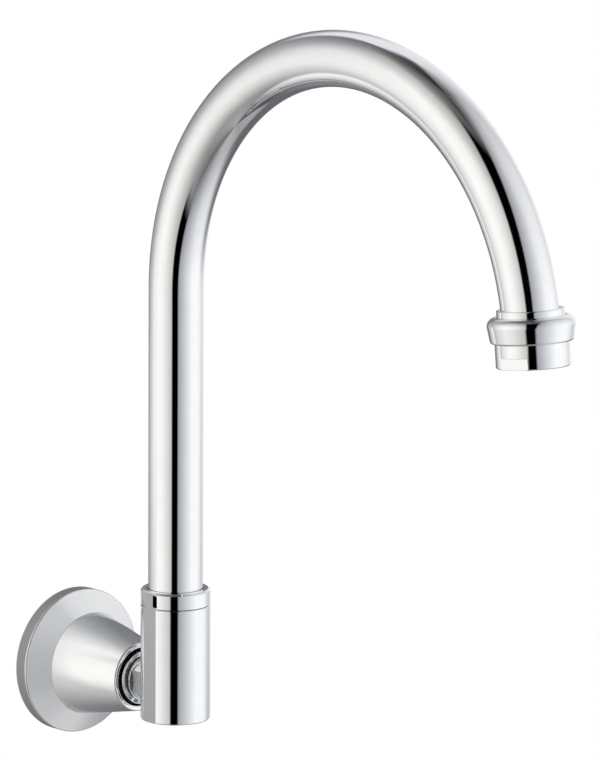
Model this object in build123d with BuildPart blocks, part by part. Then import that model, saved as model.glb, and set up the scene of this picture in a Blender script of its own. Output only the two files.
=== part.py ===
from build123d import *
from math import cos, degrees, hypot, radians, sin
import os

# Wall-mounted swivel gooseneck outlet, in millimetres.
# The origin is on the inlet axis, in the plane of the finished wall. +Z is up, -Y points out
# of the wall into the room. Pieces are turned about three axes: the inlet axis along Y, the
# upright swivel axis, and the outlet axis at the end of the gooseneck.

os.makedirs("parts", exist_ok=True)

# ---------------------------------------------------------------------------
# Driving dimensions
# ---------------------------------------------------------------------------

# Gooseneck
axis_setback = 65.0          # wall to the swivel axis
tube_radius = 11.0
tube_wall = 1.2
leg_top = 163.6              # inlet axis up to the start of the bend
bend_radius = 101.6
bend_angle = 174.4           # from upright to the direction of the outlet axis
tube_short = 3.5             # how far before the end of the bend the tube stops

# Clearances
running_gap = 0.05           # radial, between parts that turn or screw together
seal_gap = 0.03              # round a seal that is squeezed in its groove
cover_gap = 0.3              # between covers and what they slip over
cut_margin = 5.0             # how far a cutter reaches past what it cuts
match_gap = 0.001            # tolerance for finding an edge again

# Wall plate and its gasket
plate_radius = 29.9
plate_rim = 5.7              # depth of the straight rim
plate_edge = 0.7             # rounding of the rim's front edge
plate_rise = 11.9            # wall to the crease between plate and shroud
plate_wall = 2.2             # wall of the straight rim
plate_floor = 2.2            # wall behind the shroud's seat
plate_bore = 13.0
gasket_depth = 3.0
gasket_bore = 20.0
gasket_land = 1.2            # width of the plate's land on the gasket

# Shroud
shroud_foot = 21.0           # radius where it meets the plate
shroud_seat = 1.5            # depth of the plate's seat for it
shroud_front = 43.9          # wall to the front rim
shroud_rim = 14.1            # outer radius at the front rim
shroud_mouth = 12.0          # bore at the front rim
shroud_lip = 0.85            # rolled edge of the front rim
shroud_wall = 2.4
shroud_grip = 9.0            # length of the cylindrical bore behind the mouth

# Inlet nipple
thread_radius = 10.478       # G 1/2 pipe thread, major radius
thread_in_wall = 15.0        # length that screws into the wall elbow
thread_in_front = 8.0        # length left in front of the wall
shank_radius = 9.3
collar_radius = 11.0
collar_front = 45.2          # wall to the collar's front face
collar_length = 8.5
collar_edge = 0.35
spigot_radius = 6.55         # front thread, G 1/4 size
spigot_length = 7.8
waterway = 4.5               # radius of the nipple's bore
hex_key = 8.0                # across flats of the hexagon in the spigot
hex_depth = 9.0
thread_lead = 1.0            # chamfer at the inlet thread's first turn
small_lead = 0.5             # the same on the spigot and on the tail's foot
grip_offset = 1.5            # how far behind the collar's middle its O-ring lies

# Swivel body
body_radius = 14.05
body_bottom = -13.0
body_top = 34.2
body_edge = 0.35
body_flat_depth = 0.47       # how deep the body's two full-length flats are cut
boss_radius = 9.3
boss_rear = 46.1             # wall to the boss's rear face
boss_rim = 1.1               # full round part behind the spanner flats
boss_flats = 16.0            # across the boss's spanner flats
boss_edge = 0.5
chamber_floor = -8.5
chamber_radius = 9.5
socket_step = 0.4            # how much smaller than the nut's thread the tail's socket is
socket_floor = 23.0
body_skin = 1.25             # wall of the body outside the nut's thread

# Swivel nut
nut_height = 6.7
nut_sleeve = 1.05            # wall of the nut inside its thread
notch_width = 2.4            # hook spanner notches, one on each side
notch_height = 4.9
notch_rise = 0.7             # ring left between a notch and the body
notch_wall = 0.55            # wall left between a notch and the bush
notch_turn = 12.5            # degrees round from the flats
nut_chamfer = 0.8
nut_relief = 0.5             # thread run-out in the body below the nut
nut_lip = 1.0                # thickness of the lip that holds the bush down

# Swivel tail, bush and washer
tail_foot = 10.0             # inlet axis up to the tail's lower end
tail_bore = 6.5
tail_flange = 3.0
tail_plug = 16.0             # length of the plug inside the tube
washer_thick = 1.0
bush_flange = 1.2
bush_wall = 0.6
ring_cord = 1.54             # section of the two tail O-rings
ring_groove = 2.2            # width of their grooves
ring_heights = (13.2, 18.4)  # inlet axis up to the two grooves

# Outlet ferrule, measured along the outlet axis from the end of the bend
ferrule_top = -8.2
neck_radius = 12.8
neck_length = 2.6
neck_edge = 0.35
ferrule_radius = 16.65
ferrule_bottom = 4.15
ferrule_taper = 1.0          # how much smaller its lower edge is
ferrule_shoulder = 3.4       # height of the rounded shoulder
ferrule_edge = 0.9
ferrule_land = 1.0           # wall that the tube's end and the washer seat on
outlet_thread = 14.0         # radius of the M28 thread

# Aerator housing
housing_bottom = 13.55
skirt_radius = 14.05
skirt_gap = 0.2              # below the ferrule
skirt_edge = 0.6
skirt_wall = 1.85
mouth_wall = 3.05            # skirt's outside to the mouth
housing_lip = 1.8
flat_width = 12.0            # width of each spanner flat
flat_height = 4.7
flat_turn = 12.5             # turn of the flats about the outlet axis, degrees

# Aerator cartridge
seal_thick = 1.3
seal_bore = 10.5
cartridge_flange = 1.2
counterbore_wall = 1.0       # wall of the housing's thread round the cartridge's flange
cartridge_wall = 0.9
regulator_thick = 2.4
regulator_hub = 3.2          # radius of the post inside the regulator's ring
regulator_cord = 1.4         # section of the regulator's ring
regulator_channel = 3.0      # width of the channel round the post
regulator_floor = 0.8        # thickness left under the channel
regulator_holes = 12
regulator_hole = 0.6
regulator_edge = 0.3         # floor left outside the holes
screen_thick = 0.4
screen_pitch = 1.5
screen_hole = 1.0
mesh_thick = 0.3
mesh_pitch = 1.3
mesh_hole = 0.9
upper_mesh_depth = 5.4       # along the outlet axis
lower_mesh_depth = 7.2
spacer_wall = 0.9
grid_thick = 1.6
grid_pitch = 1.9
grid_hole = 0.75             # inner radius of each honeycomb cell
cell_turn = 30.0             # turns the cells so that their flat sides face each other, degrees
insert_margin = 0.8          # plain border of the screens, meshes and grid

# ---------------------------------------------------------------------------
# Sizes and places that follow
# ---------------------------------------------------------------------------

tube_bore = tube_radius - tube_wall
nut_top = body_top + nut_height
flange_bottom = socket_floor + washer_thick
flange_top = flange_bottom + tail_flange
bush_top = nut_top - nut_lip
bush_inner = tube_radius + running_gap
# Bush, nut and body share the space between the tube and the body's outside.
wall_space = body_radius - bush_inner - 2 * running_gap
wall_fit = wall_space / (bush_wall + nut_sleeve + body_skin)
bush_outer = bush_inner + wall_fit * bush_wall
nut_bore = bush_outer + running_gap
nut_thread = nut_bore + wall_fit * nut_sleeve + running_gap
socket_radius = nut_thread - socket_step
flange_radius = socket_radius - running_gap
bush_foot = flange_top + running_gap
nut_foot = bush_foot + bush_flange + running_gap
groove_radius = chamber_radius - seal_gap - ring_cord - seal_gap
neck_bottom = ferrule_top + neck_length
tube_end = -tube_short
thread_top = tube_end + ferrule_land
housing_top = thread_top + seal_thick
housing_bore = skirt_radius - skirt_wall
housing_mouth = skirt_radius - mouth_wall
flange_seat = outlet_thread - running_gap - counterbore_wall
cartridge_flange_radius = flange_seat - running_gap
cartridge_radius = housing_bore - running_gap
cartridge_bore = cartridge_radius - cartridge_wall
insert_radius = cartridge_bore - running_gap
cartridge_bottom = housing_bottom - housing_lip
regulator_bottom = housing_top + regulator_thick
grid_top = cartridge_bottom - grid_thick
spigot_end = collar_front + spigot_length

outlet_tilt = radians(180 - bend_angle)
flow = Vector(0, -sin(outlet_tilt), -cos(outlet_tilt))


def bend_point(angle):
    """The point on the gooseneck's centre line after so many degrees of bend."""
    turn = radians(angle)
    out = bend_radius * (1 - cos(turn))
    return Vector(0, -axis_setback - out, leg_top + bend_radius * sin(turn))


outlet_end = bend_point(bend_angle)
tube_bend = bend_angle - degrees(tube_short / bend_radius)

# Profile planes: x is the radius and y runs along the axis that the profile is turned about.
inlet_profile = Plane(origin=(0, 0, 0), x_dir=(1, 0, 0), z_dir=(0, 0, -1))
swivel_profile = Plane(origin=(0, -axis_setback, 0), x_dir=(1, 0, 0), z_dir=(0, -1, 0))
outlet_profile = Plane(
    origin=outlet_end,
    x_dir=(1, 0, 0),
    z_dir=(0, cos(outlet_tilt), -sin(outlet_tilt)),
)
inlet_axis = Axis((0, 0, 0), (0, -1, 0))
swivel_axis = Axis((0, -axis_setback, 0), (0, 0, 1))
outlet_axis = Axis(outlet_end, flow)

# Cross planes: they stand square to an axis, and offset() moves them along it.
inlet_cross = Plane(origin=(0, 0, 0), x_dir=(1, 0, 0), z_dir=(0, -1, 0))
swivel_cross = Plane(origin=(0, -axis_setback, 0), x_dir=(1, 0, 0), z_dir=(0, 0, 1))
outlet_cross = Plane(origin=outlet_end, x_dir=(1, 0, 0), z_dir=flow)


def turned_edges(part, axis, radius, distance):
    """The circular edges of a turned part with this radius at this distance along its axis."""

    def matches(edge):
        if edge.geom_type != GeomType.CIRCLE or abs(edge.radius - radius) > match_gap:
            return False
        along = (edge.arc_center - axis.position).dot(axis.direction)
        return abs(along - distance) < match_gap

    return part.edges().filter_by(matches)


def turned_ring(inner, outer, low, high):
    """A ring's rectangular section, drawn in the current profile sketch."""
    with Locations(((inner + outer) / 2, (low + high) / 2)):
        Rectangle(outer - inner, high - low)


def disc_places(pitch, row_pitch, stagger, limit):
    """Places of a pattern's holes within a circle, with every other row shifted by the stagger."""
    reach = int(limit / row_pitch) + 1
    places = []
    for row in range(-reach, reach + 1):
        for column in range(-reach, reach + 1):
            place = (column * pitch + row % 2 * stagger, row * row_pitch)
            if hypot(*place) < limit:
                places.append(place)
    return places


def finish(part, name):
    """Name a finished piece and write it."""
    part.label = name
    export_step(part, f"parts/{name}.step")


# ---------------------------------------------------------------------------
# Wall plate, gasket and shroud
# ---------------------------------------------------------------------------

# The plate is a hollow turned disc. Its seat takes the foot of the shroud.
seat_radius = shroud_foot + running_gap
seat_floor = plate_rise - shroud_seat
with BuildPart() as wall_plate:
    with BuildSketch(inlet_profile):
        with BuildLine():
            Polyline(
                (shroud_foot - shroud_wall, seat_floor - plate_floor),
                (plate_radius - plate_wall - gasket_land, gasket_depth),
                (plate_radius - plate_wall, gasket_depth),
                (plate_radius - plate_wall, 0),
                (plate_radius, 0),
                (plate_radius, plate_rim),
                (seat_radius, plate_rise),
                (seat_radius, seat_floor),
                (plate_bore, seat_floor),
                (plate_bore, seat_floor - plate_floor),
                close=True,
            )
        make_face()
    revolve(axis=inlet_axis)
    fillet(turned_edges(wall_plate, inlet_axis, plate_radius, plate_rim), plate_edge)
finish(wall_plate.part, "wall_plate")

with BuildPart() as wall_gasket:
    with BuildSketch(inlet_profile):
        turned_ring(gasket_bore, plate_radius - plate_wall - cover_gap, 0, gasket_depth)
    revolve(axis=inlet_axis)
finish(wall_gasket.part, "wall_gasket")

# The shroud is a hollow cone with a short grip bore behind its rolled front rim.
grip_end = shroud_front - shroud_grip
with BuildPart() as hub_shroud:
    with BuildSketch(inlet_profile):
        with BuildLine():
            Polyline(
                (shroud_foot - shroud_wall, seat_floor),
                (shroud_foot, seat_floor),
                (shroud_foot, plate_rise),
                (shroud_rim, shroud_front),
                (shroud_mouth, shroud_front),
                (shroud_mouth, grip_end),
                (shroud_foot - shroud_wall, plate_rise),
                close=True,
            )
        make_face()
    revolve(axis=inlet_axis)
    fillet(turned_edges(hub_shroud, inlet_axis, shroud_rim, shroud_front), shroud_lip)
    fillet(turned_edges(hub_shroud, inlet_axis, shroud_mouth, shroud_front), shroud_lip)
finish(hub_shroud.part, "hub_shroud")

# ---------------------------------------------------------------------------
# Inlet nipple, its washer and the O-ring that grips the shroud
# ---------------------------------------------------------------------------

collar_rear = collar_front - collar_length
grip_cord = shroud_mouth - shank_radius - 2 * seal_gap
grip_height = collar_front - collar_length / 2 - grip_offset
with BuildPart() as inlet_nipple:
    with BuildSketch(inlet_profile):
        with BuildLine():
            Polyline(
                (waterway, -thread_in_wall),
                (thread_radius, -thread_in_wall),
                (thread_radius, thread_in_front),
                (shank_radius, thread_in_front + thread_lead),
                (shank_radius, collar_rear),
                (collar_radius, collar_rear),
                (collar_radius, grip_height - grip_cord / 2 - seal_gap),
                (shank_radius, grip_height - grip_cord / 2 - seal_gap),
                (shank_radius, grip_height + grip_cord / 2 + seal_gap),
                (collar_radius, grip_height + grip_cord / 2 + seal_gap),
                (collar_radius, collar_front),
                (spigot_radius, collar_front),
                (spigot_radius, spigot_end),
                (waterway, spigot_end),
                close=True,
            )
        make_face()
    revolve(axis=inlet_axis)
    chamfer(turned_edges(inlet_nipple, inlet_axis, thread_radius, -thread_in_wall), thread_lead)
    fillet(turned_edges(inlet_nipple, inlet_axis, collar_radius, collar_front), collar_edge)
    chamfer(turned_edges(inlet_nipple, inlet_axis, spigot_radius, spigot_end), small_lead)
    with BuildSketch(inlet_cross.offset(spigot_end)):
        RegularPolygon(radius=hex_key / 2, side_count=6, major_radius=False)
    extrude(amount=-hex_depth, mode=Mode.SUBTRACT)
finish(inlet_nipple.part, "inlet_nipple")

with BuildPart() as shroud_o_ring:
    with BuildSketch(inlet_profile):
        with Locations((shank_radius + seal_gap + grip_cord / 2, grip_height)):
            Circle(grip_cord / 2)
    revolve(axis=inlet_axis)
finish(shroud_o_ring.part, "shroud_o_ring")

with BuildPart() as nipple_washer:
    with BuildSketch(inlet_profile):
        turned_ring(spigot_radius + running_gap, boss_radius - boss_edge, collar_front, boss_rear)
    revolve(axis=inlet_axis)
finish(nipple_washer.part, "nipple_washer")

# ---------------------------------------------------------------------------
# Swivel body and nut
# ---------------------------------------------------------------------------

spigot_bore = spigot_radius + running_gap
cutter_side = 2 * (body_radius + cut_margin)
with BuildPart() as swivel_body:
    with BuildSketch(swivel_cross.offset(body_bottom)):
        Circle(body_radius)
    extrude(amount=body_top - body_bottom)
    chamfer(turned_edges(swivel_body, swivel_axis, body_radius, body_bottom), body_edge)
    chamfer(turned_edges(swivel_body, swivel_axis, body_radius, body_top), body_edge)
    with BuildSketch(swivel_cross.offset(body_bottom)):
        Rectangle(cutter_side, cutter_side)
        Rectangle(2 * (body_radius - body_flat_depth), cutter_side, mode=Mode.SUBTRACT)
    extrude(amount=body_top - body_bottom, mode=Mode.SUBTRACT)
    with BuildSketch(inlet_cross.offset(boss_rear)):
        Circle(boss_radius)
    extrude(amount=boss_rim)
    chamfer(turned_edges(swivel_body, inlet_axis, boss_radius, boss_rear), boss_edge)
    with BuildSketch(inlet_cross.offset(boss_rear + boss_rim)):
        Circle(boss_radius)
        Rectangle(boss_flats, 2 * boss_radius, mode=Mode.INTERSECT)
    extrude(amount=axis_setback - boss_rear - boss_rim)
    # The bores from above: water chamber, collar socket and nut thread.
    with BuildSketch(swivel_profile):
        turned_ring(0, chamber_radius, chamber_floor, socket_floor)
        turned_ring(0, socket_radius, socket_floor, body_top)
        turned_ring(0, nut_thread, nut_foot - nut_relief, body_top)
    revolve(axis=swivel_axis, mode=Mode.SUBTRACT)
    # The socket and the waterway from behind.
    with BuildSketch(inlet_profile):
        turned_ring(0, spigot_bore, boss_rear, spigot_end + running_gap)
        turned_ring(0, waterway, spigot_end, axis_setback)
    revolve(axis=inlet_axis, mode=Mode.SUBTRACT)
finish(swivel_body.part, "swivel_body")

with BuildPart() as swivel_nut:
    with BuildSketch(swivel_profile):
        turned_ring(nut_bore, body_radius, body_top, nut_top)
        turned_ring(nut_bore, nut_thread - running_gap, nut_foot, body_top)
        turned_ring(tube_radius + cover_gap, body_radius, bush_top, nut_top)
    revolve(axis=swivel_axis)
    chamfer(turned_edges(swivel_nut, swivel_axis, body_radius, nut_top), nut_chamfer)
    chamfer(turned_edges(swivel_nut, swivel_axis, body_radius, body_top), body_edge)
    with BuildSketch(swivel_cross.offset(body_top)):
        Rectangle(cutter_side, cutter_side)
        Rectangle(2 * (body_radius - body_flat_depth), cutter_side, mode=Mode.SUBTRACT)
    extrude(amount=nut_height, mode=Mode.SUBTRACT)
    # The notches, cut inwards until only their wall is left over the bush.
    with BuildSketch(swivel_cross.offset(body_top + notch_rise)):
        with PolarLocations(nut_bore + notch_wall + cut_margin / 2, 2, start_angle=notch_turn):
            Rectangle(cut_margin, notch_width)
    extrude(amount=notch_height, mode=Mode.SUBTRACT)
finish(swivel_nut.part, "swivel_nut")

# ---------------------------------------------------------------------------
# Swivel tail with its O-rings, thrust washer and slip bush
# ---------------------------------------------------------------------------

with BuildPart() as spout_tail:
    with BuildSketch(swivel_profile):
        turned_ring(tail_bore, chamber_radius - running_gap, tail_foot, flange_bottom)
        turned_ring(tail_bore, flange_radius, flange_bottom, flange_top)
        turned_ring(tail_bore, tube_bore - running_gap, flange_top, flange_top + tail_plug)
        for height in ring_heights:
            with Locations((chamber_radius, height)):
                Rectangle(2 * (chamber_radius - groove_radius), ring_groove, mode=Mode.SUBTRACT)
    revolve(axis=swivel_axis)
    chamfer(
        turned_edges(spout_tail, swivel_axis, chamber_radius - running_gap, tail_foot),
        small_lead,
    )
finish(spout_tail.part, "spout_tail")

for name, height in zip(("lower_o_ring", "upper_o_ring"), ring_heights):
    with BuildPart() as tail_ring:
        with BuildSketch(swivel_profile):
            with Locations((groove_radius + seal_gap + ring_cord / 2, height)):
                Circle(ring_cord / 2)
        revolve(axis=swivel_axis)
    finish(tail_ring.part, name)

with BuildPart() as thrust_washer:
    with BuildSketch(swivel_profile):
        turned_ring(chamber_radius + running_gap, flange_radius, socket_floor, flange_bottom)
    revolve(axis=swivel_axis)
finish(thrust_washer.part, "thrust_washer")

with BuildPart() as slip_bush:
    with BuildSketch(swivel_profile):
        turned_ring(bush_inner, flange_radius, bush_foot, bush_foot + bush_flange)
        turned_ring(bush_inner, bush_outer, bush_foot, bush_top - running_gap)
    revolve(axis=swivel_axis)
finish(slip_bush.part, "slip_bush")

# ---------------------------------------------------------------------------
# Gooseneck tube and outlet ferrule
# ---------------------------------------------------------------------------

tube_foot = Vector(0, -axis_setback, flange_top)
with BuildPart() as spout_tube:
    with BuildLine() as spout_path:
        Line(tube_foot, bend_point(0))
        ThreePointArc(bend_point(0), bend_point(tube_bend / 2), bend_point(tube_bend))
    with BuildSketch(swivel_cross.offset(flange_top)):
        Circle(tube_radius)
        Circle(tube_bore, mode=Mode.SUBTRACT)
    sweep(path=spout_path.wire())
finish(spout_tube.part, "spout_tube")

# The ferrule's bore follows the last of the bend, so the gap round the tube is even.
with BuildPart() as outlet_ferrule:
    with BuildSketch(outlet_profile):
        with BuildLine():
            shoulder_end = (ferrule_radius, neck_bottom + ferrule_shoulder)
            Polyline(
                (0, neck_bottom),
                (0, ferrule_top),
                (neck_radius, ferrule_top),
                (neck_radius, neck_bottom),
                (ferrule_radius - ferrule_shoulder, neck_bottom),
            )
            CenterArc(
                center=(ferrule_radius - ferrule_shoulder, neck_bottom + ferrule_shoulder),
                radius=ferrule_shoulder,
                start_angle=-90,
                arc_size=90,
            )
            Polyline(
                shoulder_end,
                (ferrule_radius - ferrule_taper, ferrule_bottom),
                (0, ferrule_bottom),
                (0, neck_bottom),
            )
        make_face()
    revolve(axis=outlet_axis)
    lower_rim = ferrule_radius - ferrule_taper
    fillet(turned_edges(outlet_ferrule, outlet_axis, neck_radius, ferrule_top), neck_edge)
    fillet(turned_edges(outlet_ferrule, outlet_axis, lower_rim, ferrule_bottom), ferrule_edge)
    with BuildSketch(outlet_profile):
        turned_ring(0, tube_bore, tube_end, ferrule_bottom)
        turned_ring(0, outlet_thread, thread_top, ferrule_bottom)
    revolve(axis=outlet_axis, mode=Mode.SUBTRACT)
    socket_start = tube_bend - degrees((tube_end - ferrule_top + cut_margin) / bend_radius)
    with BuildLine() as socket_path:
        ThreePointArc(
            bend_point(socket_start),
            bend_point((socket_start + tube_bend) / 2),
            bend_point(tube_bend),
        )
    socket_mouth = Plane(
        origin=socket_path.line @ 0,
        x_dir=(1, 0, 0),
        z_dir=socket_path.line % 0,
    )
    with BuildSketch(socket_mouth):
        Circle(tube_radius + running_gap)
    sweep(path=socket_path.wire(), mode=Mode.SUBTRACT)
finish(outlet_ferrule.part, "outlet_ferrule")

# ---------------------------------------------------------------------------
# Aerator
# ---------------------------------------------------------------------------

with BuildPart() as aerator_seal:
    with BuildSketch(outlet_profile):
        turned_ring(seal_bore, outlet_thread - cover_gap, thread_top, housing_top)
    revolve(axis=outlet_axis)
finish(aerator_seal.part, "aerator_seal")

skirt_top = ferrule_bottom + skirt_gap
with BuildPart() as aerator_housing:
    with BuildSketch(outlet_profile):
        turned_ring(housing_bore, outlet_thread - running_gap, housing_top, skirt_top)
        turned_ring(housing_bore, skirt_radius, skirt_top, cartridge_bottom)
        turned_ring(housing_mouth, skirt_radius, cartridge_bottom, housing_bottom)
    revolve(axis=outlet_axis)
    fillet(turned_edges(aerator_housing, outlet_axis, skirt_radius, housing_bottom), skirt_edge)
    # The counterbore that takes the cartridge's flange.
    with BuildSketch(outlet_profile):
        turned_ring(0, flange_seat, housing_top, housing_top + cartridge_flange)
    revolve(axis=outlet_axis, mode=Mode.SUBTRACT)
    # Two spanner flats across the lower half of the skirt.
    half_chord = flat_width / 2
    flat_distance = (skirt_radius**2 - half_chord**2) ** 0.5
    with BuildSketch(outlet_cross.offset(housing_bottom).rotated((0, 0, flat_turn))):
        with Locations((flat_distance + skirt_radius, 0), (-flat_distance - skirt_radius, 0)):
            Rectangle(2 * skirt_radius, 2 * (skirt_radius + cut_margin))
    extrude(amount=-flat_height, mode=Mode.SUBTRACT)
finish(aerator_housing.part, "aerator_housing")

# The cartridge hangs in the housing on its flange and holds a stack of inserts.
with BuildPart() as cartridge_sleeve:
    with BuildSketch(outlet_profile):
        flange_end = housing_top + cartridge_flange
        turned_ring(cartridge_bore, cartridge_flange_radius, housing_top, flange_end)
        turned_ring(cartridge_bore, cartridge_radius, housing_top, cartridge_bottom)
    revolve(axis=outlet_axis)
finish(cartridge_sleeve.part, "cartridge_sleeve")

# The regulator's ring lies round a post, in a channel with holes in its floor.
channel_outer = regulator_hub + regulator_channel
with BuildPart() as flow_regulator:
    with BuildSketch(outlet_profile):
        turned_ring(0, regulator_hub, housing_top, regulator_bottom)
        turned_ring(0, insert_radius, regulator_bottom - regulator_floor, regulator_bottom)
        turned_ring(channel_outer, insert_radius, housing_top, regulator_bottom)
    revolve(axis=outlet_axis)
    with BuildSketch(outlet_cross.offset(regulator_bottom)):
        with PolarLocations(channel_outer - regulator_edge - regulator_hole, regulator_holes):
            Circle(regulator_hole)
    extrude(amount=-regulator_floor, mode=Mode.SUBTRACT)
finish(flow_regulator.part, "flow_regulator")

with BuildPart() as regulator_ring:
    with BuildSketch(outlet_profile):
        ring_depth = regulator_bottom - regulator_floor - seal_gap - regulator_cord / 2
        with Locations((regulator_hub + seal_gap + regulator_cord / 2, ring_depth)):
            Circle(regulator_cord / 2)
    revolve(axis=outlet_axis)
finish(regulator_ring.part, "regulator_ring")

# Three spacer rings keep the regulator, the two meshes and the grid apart.
spacers = {
    "top_spacer": (regulator_bottom, upper_mesh_depth),
    "middle_spacer": (upper_mesh_depth + mesh_thick, lower_mesh_depth),
    "bottom_spacer": (lower_mesh_depth + mesh_thick, grid_top),
}
for name, (low, high) in spacers.items():
    with BuildPart() as spacer:
        with BuildSketch(outlet_profile):
            turned_ring(insert_radius - spacer_wall, insert_radius, low, high)
        revolve(axis=outlet_axis)
    finish(spacer.part, name)

# The inlet screen lies on the regulator inside the seal, the meshes between the spacers.
screen_radius = seal_bore - running_gap
screen_top = housing_top - screen_thick
nets = {
    "inlet_screen": (screen_radius, screen_top, screen_thick, screen_pitch, screen_hole),
    "upper_mesh": (insert_radius, upper_mesh_depth, mesh_thick, mesh_pitch, mesh_hole),
    "lower_mesh": (insert_radius, lower_mesh_depth, mesh_thick, mesh_pitch, mesh_hole),
}
for name, (radius, depth, thickness, pitch, hole) in nets.items():
    with BuildPart() as net:
        with BuildSketch(outlet_cross.offset(depth)):
            Circle(radius)
            with Locations(*disc_places(pitch, pitch, 0, radius - insert_margin - hole / 2)):
                Rectangle(hole, hole, mode=Mode.SUBTRACT)
        extrude(amount=thickness)
    finish(net.part, name)

# The honeycomb's rows stand as close as its columns.
cell_rows = grid_pitch * cos(radians(cell_turn))
cell_limit = insert_radius - insert_margin - grid_hole
with BuildPart() as outlet_grid:
    with BuildSketch(outlet_cross.offset(grid_top)):
        Circle(insert_radius)
        with Locations(*disc_places(grid_pitch, cell_rows, grid_pitch / 2, cell_limit)):
            RegularPolygon(
                radius=grid_hole,
                side_count=6,
                major_radius=False,
                rotation=cell_turn,
                mode=Mode.SUBTRACT,
            )
    extrude(amount=grid_thick)
finish(outlet_grid.part, "outlet_grid")
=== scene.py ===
from math import cos, pi, radians, sin

import bmesh
import bpy
from mathutils import Matrix, Vector

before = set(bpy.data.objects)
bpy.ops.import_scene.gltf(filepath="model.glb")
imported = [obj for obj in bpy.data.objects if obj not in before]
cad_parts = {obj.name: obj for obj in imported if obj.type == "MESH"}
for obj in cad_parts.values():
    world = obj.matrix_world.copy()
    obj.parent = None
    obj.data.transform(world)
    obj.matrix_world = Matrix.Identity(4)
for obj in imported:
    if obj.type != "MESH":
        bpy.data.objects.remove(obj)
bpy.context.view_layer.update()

# --- Wall gasket ----------------------------------------------------------
# A ring of closed-cell foam rubber behind the wall plate. It is cut from
# sheet, so its edges are matt and its skin is slightly pitted.


def linear(hex_colour):
    """An sRGB hex colour as the linear RGBA that a shader takes."""
    parts = [int(hex_colour[i:i + 2], 16) / 255 for i in (1, 3, 5)]
    return [p / 12.92 if p <= 0.04045 else ((p + 0.055) / 1.055) ** 2.4 for p in parts] + [1.0]


def add_node(tree, kind, inputs=None, stops=(), **properties):
    """Adds a node. An input, by name or number, takes a value or a socket, and a ramp takes stops."""
    node = tree.nodes.new(kind)
    for name, value in properties.items():
        setattr(node, name, value)
    for name, value in (inputs or {}).items():
        if isinstance(value, bpy.types.NodeSocket):
            tree.links.new(value, node.inputs[name])
        else:
            node.inputs[name].default_value = value
    if stops:
        elements = node.color_ramp.elements
        elements.remove(elements[1])
        elements[0].position, elements[0].color = stops[0]
        for position, colour in stops[1:]:
            elements.new(position).color = colour
    return node


def surface(name, colour, second, roughness, spread, grain_mm, metallic=0.0, bump_mm=0.0):
    """A finish whose colour and roughness vary with a grain of a real size, with a fine bump."""
    # The levels of the grain between which the colour and the roughness change.
    tone_low, tone_high = 0.35, 0.7
    rough_low, rough_high = 0.3, 0.7
    material = bpy.data.materials.new(name)
    material.use_nodes = True
    tree = material.node_tree
    shader = tree.nodes["Principled BSDF"]
    shader.inputs["Metallic"].default_value = metallic
    place = add_node(tree, "ShaderNodeTexCoord").outputs["Object"]
    grain = add_node(tree, "ShaderNodeTexNoise", {
        "Vector": place, "Scale": 1000 / grain_mm, "Detail": 3.0}).outputs["Fac"]
    tones = add_node(tree, "ShaderNodeValToRGB", {"Fac": grain},
                     stops=[(tone_low, linear(colour)), (tone_high, linear(second))])
    tree.links.new(tones.outputs["Color"], shader.inputs["Base Color"])
    rough = add_node(tree, "ShaderNodeMapRange", {
        "Value": grain, "From Min": rough_low, "From Max": rough_high,
        "To Min": roughness, "To Max": roughness + spread})
    tree.links.new(rough.outputs["Result"], shader.inputs["Roughness"])
    if bump_mm:
        bump = add_node(tree, "ShaderNodeBump", {
            "Height": grain, "Strength": 0.5, "Distance": bump_mm / 1000})
        tree.links.new(bump.outputs["Normal"], shader.inputs["Normal"])
    return material


def finish_nodes(material, *names):
    """Gives carried-over CAD nodes a material."""
    for name in names:
        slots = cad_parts[name].data.materials
        slots.clear()
        slots.append(material)


# Foam rubber reads as a dull charcoal. Its grain is the size of a cut cell, 0.8 mm.
foam = surface("closed_cell_foam_rubber", "#232323", "#303030",
               roughness=0.8, spread=0.15, grain_mm=0.8, bump_mm=0.08)
finish_nodes(foam, "wall_gasket")

# --- Wall plate and shroud ------------------------------------------------
# Turned brass covers with a bright nickel and chromium plate. The shroud is
# polished and the wall plate buffed. The shroud seats in the plate.

# A Mix node's input 0 is how far it blends. These are the places of the two numbers that it
# blends, of the two colours, and of the blended colour among its outputs.
number_a, number_b = 2, 3
colour_a, colour_b, colour_mix = 6, 7, 2


def round_edges(material, radius_mm):
    """Breaks a finish's sharp edges, as polishing does before the plate goes on."""
    tree = material.node_tree
    rounded = add_node(tree, "ShaderNodeBevel", {"Radius": radius_mm / 1000}, samples=8)
    tree.links.new(rounded.outputs["Normal"], tree.nodes["Principled BSDF"].inputs["Normal"])


def unpolished(material, where, colour, roughness, metallic=1.0):
    """Leaves the plate satin over the places that a mask socket gives as 1."""
    tree = material.node_tree
    shader = tree.nodes["Principled BSDF"]
    smooth = shader.inputs["Roughness"].links[0].from_socket
    bright = shader.inputs["Base Color"].links[0].from_socket
    rough = add_node(tree, "ShaderNodeMix", {0: where, number_a: smooth, number_b: roughness},
                     data_type="FLOAT")
    tree.links.new(rough.outputs[0], shader.inputs["Roughness"])
    dull = add_node(tree, "ShaderNodeMix", {0: where, colour_a: bright, colour_b: linear(colour)},
                    data_type="RGBA")
    tree.links.new(dull.outputs[colour_mix], shader.inputs["Base Color"])
    if metallic < 1:
        scatter = add_node(tree, "ShaderNodeMapRange", {
            "Value": where, "To Min": 1.0, "To Max": metallic})
        tree.links.new(scatter.outputs["Result"], shader.inputs["Metallic"])


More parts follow.
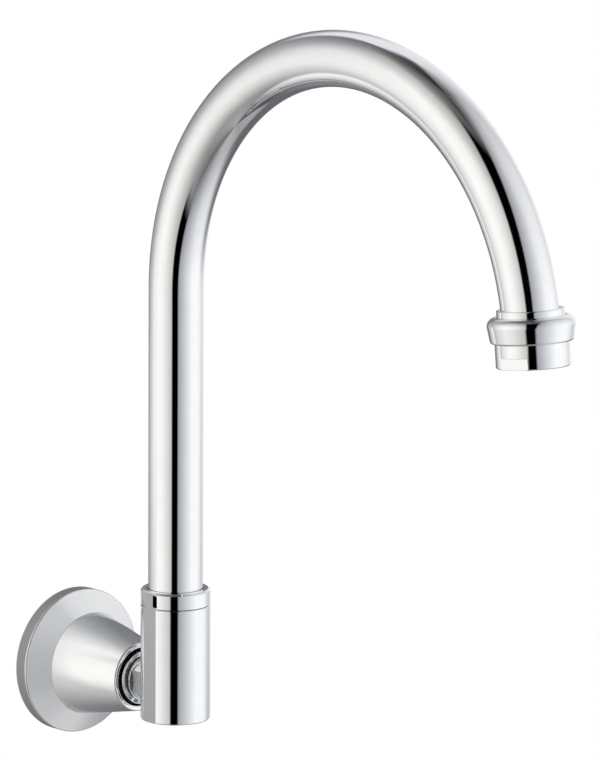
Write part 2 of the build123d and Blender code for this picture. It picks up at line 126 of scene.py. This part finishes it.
# Polished chrome is a near-perfect mirror. The 6 mm grain is the faint haze that the
# polishing mop leaves, and it has no bump.
chromed = {"colour": "#F3F4F5", "second": "#F6F7F8", "metallic": 1.0,
           "roughness": 0.02, "spread": 0.012, "grain_mm": 6.0}
chrome = surface("polished_chrome_plate", **chromed)
round_edges(chrome, 0.3)
finish_nodes(chrome, "hub_shroud")

# The plate's face is buffed to a soft shine and its rim is duller, with a bright edge between.
# The two limits say how squarely a surface faces forwards where the face and the rim end.
face_limit, rim_limit = 0.78, 0.1
plate_chrome = surface("buffed_chrome_plate", **chromed)
round_edges(plate_chrome, 0.2)
plate_tree = plate_chrome.node_tree
plate_normal = add_node(plate_tree, "ShaderNodeTexCoord").outputs["Normal"]
plate_facing = add_node(plate_tree, "ShaderNodeSeparateXYZ", {"Vector": plate_normal})
forwards = add_node(plate_tree, "ShaderNodeMath", {0: plate_facing.outputs["Y"]},
                    operation="ABSOLUTE").outputs[0]
face = add_node(plate_tree, "ShaderNodeMath", {0: forwards, 1: face_limit}, operation="GREATER_THAN")
unpolished(plate_chrome, face.outputs[0], "#F4F5F6", 0.23, metallic=0.66)
rim = add_node(plate_tree, "ShaderNodeMath", {0: forwards, 1: rim_limit}, operation="LESS_THAN")
unpolished(plate_chrome, rim.outputs[0], "#ACADAF", 0.42)
finish_nodes(plate_chrome, "wall_plate")

# --- Inlet nipple, its washer and the shroud's O-ring ---------------------
# A chromed brass nipple whose rear end, hidden in the wall, is left plain where
# the pipe thread goes, a black fibre washer, and a nitrile O-ring.

finish_nodes(chrome, "inlet_nipple")

# Moulded nitrile is a soft black with a low sheen. Its grain is drawn coarser than a
# mould's texture, at 1.2 mm, so that it shows.
nitrile = surface("moulded_nitrile_rubber", "#141414", "#1C1C1C",
                  roughness=0.45, spread=0.15, grain_mm=1.2, bump_mm=0.02)
finish_nodes(nitrile, "shroud_o_ring")

# Pressed fibre sheet is a dry black with no sheen. Its grain is a bundle of fibres, 0.4 mm.
fibre = surface("black_fibre_sheet", "#2A2A2B", "#363637",
                roughness=0.75, spread=0.15, grain_mm=0.4, bump_mm=0.05)
finish_nodes(fibre, "nipple_washer")

# --- Swivel body and nut --------------------------------------------------
# Machined brass. Two full-length flats on the body run on up the nut, which
# also has two notches for a hook spanner. Both are chromed after machining.


def paint_seam_shade(material, reach_mm):
    """Paints shade into a finish's inner corners, darkening its colour where nearby surfaces close in.
    """
    full_shade, no_shade = 0.45, 0.8
    tree = material.node_tree
    shader = tree.nodes["Principled BSDF"]
    unshaded_colour = shader.inputs["Base Color"].links[0].from_socket
    # Painted shade: an occlusion node turns the base colour near black in the seams, where shadow
    # falls.
    corners = add_node(tree, "ShaderNodeAmbientOcclusion", {"Distance": reach_mm / 1000}, samples=8)
    unshaded_share = add_node(tree, "ShaderNodeMapRange", {
        "Value": corners.outputs["AO"], "From Min": full_shade, "From Max": no_shade})
    seam_shaded = add_node(tree, "ShaderNodeMix", {
        0: unshaded_share.outputs["Result"], colour_a: linear("#2C2C2D"), colour_b: unshaded_colour}, data_type="RGBA")
    tree.links.new(seam_shaded.outputs[colour_mix], shader.inputs["Base Color"])


# The flats keep a satin, milled look between the polished rounds. They are the surfaces
# that face within about 3 degrees of straight sideways.
flat_limit = 0.9985
flat_chrome = surface("chrome_plate_with_milled_flats", **chromed)
flat_tree = flat_chrome.node_tree
flat_normal = add_node(flat_tree, "ShaderNodeTexCoord").outputs["Normal"]
flat_facing = add_node(flat_tree, "ShaderNodeSeparateXYZ", {"Vector": flat_normal})
sideways = add_node(flat_tree, "ShaderNodeMath", {0: flat_facing.outputs["X"]},
                    operation="ABSOLUTE").outputs[0]
flats = add_node(flat_tree, "ShaderNodeMath", {0: sideways, 1: flat_limit}, operation="GREATER_THAN")
unpolished(flat_chrome, flats.outputs[0], "#B9BABC", 0.38)
# Painted shade darkens the inner corners, such as the seam between the nut and the body.
paint_seam_shade(flat_chrome, 1.1)
finish_nodes(flat_chrome, "swivel_nut")

# The body is the same, with its edges broken. The nut's stay crisp.
body_chrome = flat_chrome.copy()
body_chrome.name = "chrome_plate_with_long_flats"
round_edges(body_chrome, 0.35)
finish_nodes(body_chrome, "swivel_body")

# --- Tail, O-rings, thrust washer and slip bush ---------------------------
# A bare turned brass tail, soldered into the foot of the tube. It turns on an
# acetal washer, is guided by an acetal bush and is sealed by two O-rings.

# Turned brass is a warm yellow with a soft shine. The marks of the tool are drawn as a
# 0.5 mm grain, which is coarser than they are, so that they show.
brass = surface("turned_brass", "#C9A24E", "#D8B566",
                metallic=1.0, roughness=0.22, spread=0.1, grain_mm=0.5, bump_mm=0.01)
finish_nodes(brass, "spout_tail")
finish_nodes(nitrile, "lower_o_ring", "upper_o_ring")

# Natural acetal is milky white with a soft gloss. Its 2 mm grain is a faint flow mark.
acetal = surface("natural_acetal", "#E6E5DE", "#EDECE6",
                 roughness=0.4, spread=0.1, grain_mm=2.0, bump_mm=0.01)
finish_nodes(acetal, "thrust_washer", "slip_bush")

# --- Spout tube and ferrule -----------------------------------------------
# A drawn brass tube, mandrel bent, polished and plated, with a turned ferrule
# soldered on its end.

finish_nodes(chrome, "spout_tube", "outlet_ferrule")

# --- Aerator --------------------------------------------------------------
# A chromed housing, screwed into the ferrule, round a moulded cartridge with
# two stainless meshes. A flat rubber washer seals it.

finish_nodes(chrome, "aerator_housing")
finish_nodes(nitrile, "aerator_seal", "regulator_ring")

# Moulded acetal in the cartridge's grey has a soft gloss and faint 1.5 mm flow marks.
moulded = surface("moulded_grey_acetal", "#8F9499", "#9BA0A5",
                  roughness=0.45, spread=0.1, grain_mm=1.5, bump_mm=0.02)
finish_nodes(moulded, "cartridge_sleeve", "inlet_screen", "flow_regulator", "top_spacer",
             "middle_spacer", "bottom_spacer", "outlet_grid")

# Stainless wire is a greyer, duller metal than the chrome. Its grain is about a wire wide, 0.4 mm.
stainless = surface("stainless_wire_mesh", "#C4C6C8", "#D2D4D6",
                    metallic=1.0, roughness=0.3, spread=0.15, grain_mm=0.4, bump_mm=0.01)
finish_nodes(stainless, "upper_mesh", "lower_mesh")

# --- Studio ---------------------------------------------------------------
# A white room: a plain pale floor below the object, even light, and for the
# metal a ring of soft panels with a dark gap near the viewer.

# The floor is kept out of reflections, so that the metal sees the panels from below too.
floor_drop = 0.35
bpy.ops.mesh.primitive_plane_add(size=30, location=(0, 0, -floor_drop))
floor = bpy.context.object
floor.name = "floor"
pale = bpy.data.materials.new("pale_floor")
pale.use_nodes = True
pale_shader = pale.node_tree.nodes["Principled BSDF"]
pale_shader.inputs["Base Color"].default_value = linear("#FFFFFF")
pale_shader.inputs["Roughness"].default_value = 1.0
pale_shader.inputs["Specular IOR Level"].default_value = 0.0
floor.data.materials.append(pale)
floor.visible_glossy = False

# A pale board behind the wall plate. It is near, so the low pieces see more of it than the arch.
# Each shade stands at a place from the viewer's left to right, in metres.
board_shades = [(-0.12, "#F4F3F0"), (-0.07, "#E4E4E2"), (-0.035, "#C8C8C8"), (0.0, "#A0A1A3"),
                (0.05, "#7A7B7E"), (0.14, "#78797C")]
board_left, board_right = board_shades[0][0], board_shades[-1][0]
board_low, board_high = -0.3, 0.2
board_back = 0.02
board_corners = ((board_left, board_back, board_low), (board_right, board_back, board_low),
                 (board_right, board_back, board_high), (board_left, board_back, board_high))
board_mesh = bpy.data.meshes.new("board")
board_form = bmesh.new()
board_form.faces.new([board_form.verts.new(corner) for corner in board_corners])
board_form.to_mesh(board_mesh)
board_form.free()
board = bpy.data.objects.new("board", board_mesh)
bpy.context.scene.collection.objects.link(board)

# The board's paint glows more towards its top.
board_paint = bpy.data.materials.new("pale_board")
board_paint.use_nodes = True
paint = board_paint.node_tree
paint.nodes.clear()
board_place = add_node(paint, "ShaderNodeTexCoord").outputs["Object"]
spot = add_node(paint, "ShaderNodeSeparateXYZ", {"Vector": board_place})
across = add_node(paint, "ShaderNodeMapRange", {
    "Value": spot.outputs["X"], "From Min": board_left, "From Max": board_right})
board_width = board_right - board_left
board_colour = add_node(paint, "ShaderNodeValToRGB", {"Fac": across.outputs["Result"]}, stops=[
    ((place - board_left) / board_width, linear(shade)) for place, shade in board_shades])
board_light = add_node(paint, "ShaderNodeMapRange", {
    "Value": spot.outputs["Z"], "From Min": -0.14, "From Max": 0.08, "To Min": 0.5, "To Max": 1.22})
board_glow = add_node(paint, "ShaderNodeEmission", {
    "Color": board_colour.outputs["Color"], "Strength": board_light.outputs["Result"]})

# Its four edges are soft: each runs from clear at the first place to solid at the second.
solid = 1.0
for measure, clear_at, solid_at in (
        (spot.outputs["Z"], board_high, 0.11), (spot.outputs["Z"], board_low, -0.22),
        (spot.outputs["X"], board_left, -0.08), (spot.outputs["X"], board_right, 0.09)):
    edge = add_node(paint, "ShaderNodeMapRange", {
        "Value": measure, "From Min": clear_at, "From Max": solid_at}, interpolation_type="SMOOTHSTEP")
    solid = add_node(paint, "ShaderNodeMath", {0: solid, 1: edge.outputs["Result"]},
                     operation="MULTIPLY").outputs[0]
clear = add_node(paint, "ShaderNodeBsdfTransparent")
board_mix = add_node(paint, "ShaderNodeMixShader", {
    0: solid, 1: clear.outputs[0], 2: board_glow.outputs[0]})
add_node(paint, "ShaderNodeOutputMaterial", {"Surface": board_mix.outputs[0]})
board_mesh.materials.append(board_paint)
board.visible_camera = False
board.visible_diffuse = False
board.visible_shadow = False

# Two broad soft panels, one to the front right and one to the back left, with greyer room
# between them. Each entry is a direction in degrees round the object and the shade there.
panels_round = [
    (-180, "#F0EFEB"), (-160, "#D6D5D3"), (-125, "#9A9CA0"), (-108, "#B8BABE"), (-88, "#D8D9DD"),
    (-60, "#FCFCFD"), (-35, "#FFFFFF"), (-10, "#F2F3F5"), (5, "#DEDFE2"), (22, "#EDEEF0"),
    (40, "#F0F1F3"), (50, "#88898C"), (68, "#7A7B80"), (84, "#98999C"), (105, "#B8B8B8"),
    (126, "#E9E8E6"), (150, "#FFFFFB"), (168, "#FAF9F5"), (180, "#F0EFEB"),
]
world = bpy.data.worlds.new("studio")
bpy.context.scene.world = world
world.use_nodes = True
sky = world.node_tree
sky.nodes.clear()
direction = add_node(sky, "ShaderNodeTexCoord").outputs["Generated"]
heading = add_node(sky, "ShaderNodeSeparateXYZ", {"Vector": direction})
height = heading.outputs["Z"]
turn = add_node(sky, "ShaderNodeMath", {0: heading.outputs["Y"], 1: heading.outputs["X"]},
                operation="ARCTAN2").outputs[0]
way_round = add_node(sky, "ShaderNodeMapRange", {"Value": turn, "From Min": -pi, "From Max": pi})
panels = add_node(sky, "ShaderNodeValToRGB", {"Fac": way_round.outputs["Result"]}, stops=[
    ((degrees_round + 180) / 360, linear(shade)) for degrees_round, shade in panels_round])

# How far a direction points each of three ways, in degrees round the object: towards the
# right-hand panel, across the dark gap, and towards the viewer.
pointing = []
for degrees_round in (-50, -45, -135.5):
    bearing = (cos(radians(degrees_round)), sin(radians(degrees_round)), 0)
    pointing.append(add_node(sky, "ShaderNodeVectorMath", {0: direction, 1: bearing},
                             operation="DOT_PRODUCT").outputs["Value"])
to_right_panel, across_gap, to_viewer = pointing

# The panels fade towards the ceiling and the ground, sooner over the back left. Each entry is
# a height, from -1 straight down to 1 straight up, and the strength there.
left_strengths = [(-0.85, 0.33), (-0.57, 0.7), (-0.26, 0.97), (0.0, 1.0), (0.42, 0.95), (0.57, 0.8),
                  (0.7, 0.65), (0.82, 0.53), (0.91, 0.24), (1.0, 0.06)]
right_strengths = [(-0.92, 0.46), (-0.7, 0.72), (-0.3, 0.96), (0.0, 1.0), (0.5, 0.84), (0.82, 0.64),
                   (0.93, 0.45), (1.0, 0.14)]
way_up = add_node(sky, "ShaderNodeMapRange", {"Value": height, "From Min": -1.0, "From Max": 1.0})
fades = []
for strengths in (left_strengths, right_strengths):
    greys = [((level + 1) / 2, (strength, strength, strength, 1)) for level, strength in strengths]
    fades.append(add_node(sky, "ShaderNodeValToRGB", {"Fac": way_up.outputs["Result"]},
                          stops=greys).outputs["Color"])
left_fade, right_fade = fades
rightwards = add_node(sky, "ShaderNodeMapRange", {
    "Value": to_right_panel, "From Min": -0.5, "From Max": 0.4}, interpolation_type="SMOOTHSTEP")
fade = add_node(sky, "ShaderNodeMix", {
    0: rightwards.outputs["Result"], colour_a: left_fade, colour_b: right_fade}, data_type="RGBA")
room = add_node(sky, "ShaderNodeMix", {
    0: 1.0, colour_a: panels.outputs["Color"], colour_b: fade.outputs[colour_mix]},
    data_type="RGBA", blend_type="MULTIPLY")

# The dark gap is an upright strip. It widens a little upwards, and reaches overhead.
gap_widening = 0.025
gap_aside = add_node(sky, "ShaderNodeMath", {0: across_gap}, operation="ABSOLUTE").outputs[0]
gap_rise = add_node(sky, "ShaderNodeMapRange", {
    "Value": height, "From Min": -0.15, "From Max": 0.3}, interpolation_type="SMOOTHSTEP")
gap_growth = add_node(sky, "ShaderNodeMath", {0: gap_rise.outputs["Result"], 1: gap_widening},
                      operation="MULTIPLY").outputs[0]
gap_width = add_node(sky, "ShaderNodeMath", {0: gap_aside, 1: gap_growth},
                     operation="SUBTRACT").outputs[0]

# Three patches lie over the panels: a lamp high at the back right, a grey corner low at the
# back right, and the dark gap on the viewer's side. Each has a shade and four soft edges, and
# an edge is what it is measured along, where the patch starts and where it is full.
patches = (
    ("#E4E5E8", ((turn, radians(14), radians(45)), (turn, radians(79), radians(68)),
                 (height, 0.25, 0.55), (height, 0.92, 0.8))),
    ("#65666A", ((turn, radians(-26), radians(16)), (turn, radians(104), radians(70)),
                 (height, -0.14, -0.38), (height, -0.92, -0.8))),
    ("#000000", ((gap_width, 0.272, 0.162), (to_viewer, 0.0, 0.03),
                 (height, -0.78, -0.6), (height, 0.99, 0.86))),
)
seen = room.outputs[colour_mix]
for shade, edges in patches:
    covered = 1.0
    for measure, start, full in edges:
        edge = add_node(sky, "ShaderNodeMapRange", {
            "Value": measure, "From Min": start, "From Max": full}, interpolation_type="SMOOTHSTEP")
        covered = add_node(sky, "ShaderNodeMath", {0: covered, 1: edge.outputs["Result"]},
                           operation="MULTIPLY").outputs[0]
    seen = add_node(sky, "ShaderNodeMix", {0: covered, colour_a: seen, colour_b: linear(shade)},
                    data_type="RGBA").outputs[colour_mix]

# Only reflections see the panels. Everything else is lit by plain white.
studio = add_node(sky, "ShaderNodeBackground", {"Color": seen, "Strength": 1.08})
white = add_node(sky, "ShaderNodeBackground", {"Color": linear("#FFFFFF"), "Strength": 1.0})
rays = add_node(sky, "ShaderNodeLightPath")
lit = add_node(sky, "ShaderNodeMixShader", {
    0: rays.outputs["Is Glossy Ray"], 1: white.outputs[0], 2: studio.outputs[0]})
add_node(sky, "ShaderNodeOutputWorld", {"Surface": lit.outputs[0]})

# --- Camera ---------------------------------------------------------------
# Placed by fitting the photograph's outlines: from the front left, ten
# degrees above the object, from 2.2 m away with a long lens.

azimuth, elevation, roll = radians(-42.02), radians(10.41), radians(0.34)
distance = 2.2
focal_px, centre_x, centre_y = 5624.9, 292.96, 369.59
image_width, image_height = 600, 759
aim = Vector((0.0002, -0.1348, 0.140))
back = Vector((sin(azimuth) * cos(elevation), -cos(azimuth) * cos(elevation), sin(elevation)))
right = Vector((cos(azimuth), sin(azimuth), 0))
up = back.cross(right)
camera_x = right * cos(roll) + up * sin(roll)
camera_y = -right * sin(roll) + up * cos(roll)
lens = bpy.data.cameras.new("camera")
lens.sensor_fit = "AUTO"
lens.sensor_width = 36
lens.lens = focal_px / image_height * lens.sensor_width
lens.shift_x = (image_width / 2 - centre_x) / image_height
lens.shift_y = (centre_y - image_height / 2) / image_height
lens.clip_end = 100
camera = bpy.data.objects.new("camera", lens)
bpy.context.scene.collection.objects.link(camera)
camera.matrix_world = Matrix.Translation(aim + back * distance) @ Matrix(
    (camera_x, camera_y, back)).transposed().to_4x4()
bpy.context.scene.camera = camera
bpy.context.scene.view_settings.view_transform = "Standard"
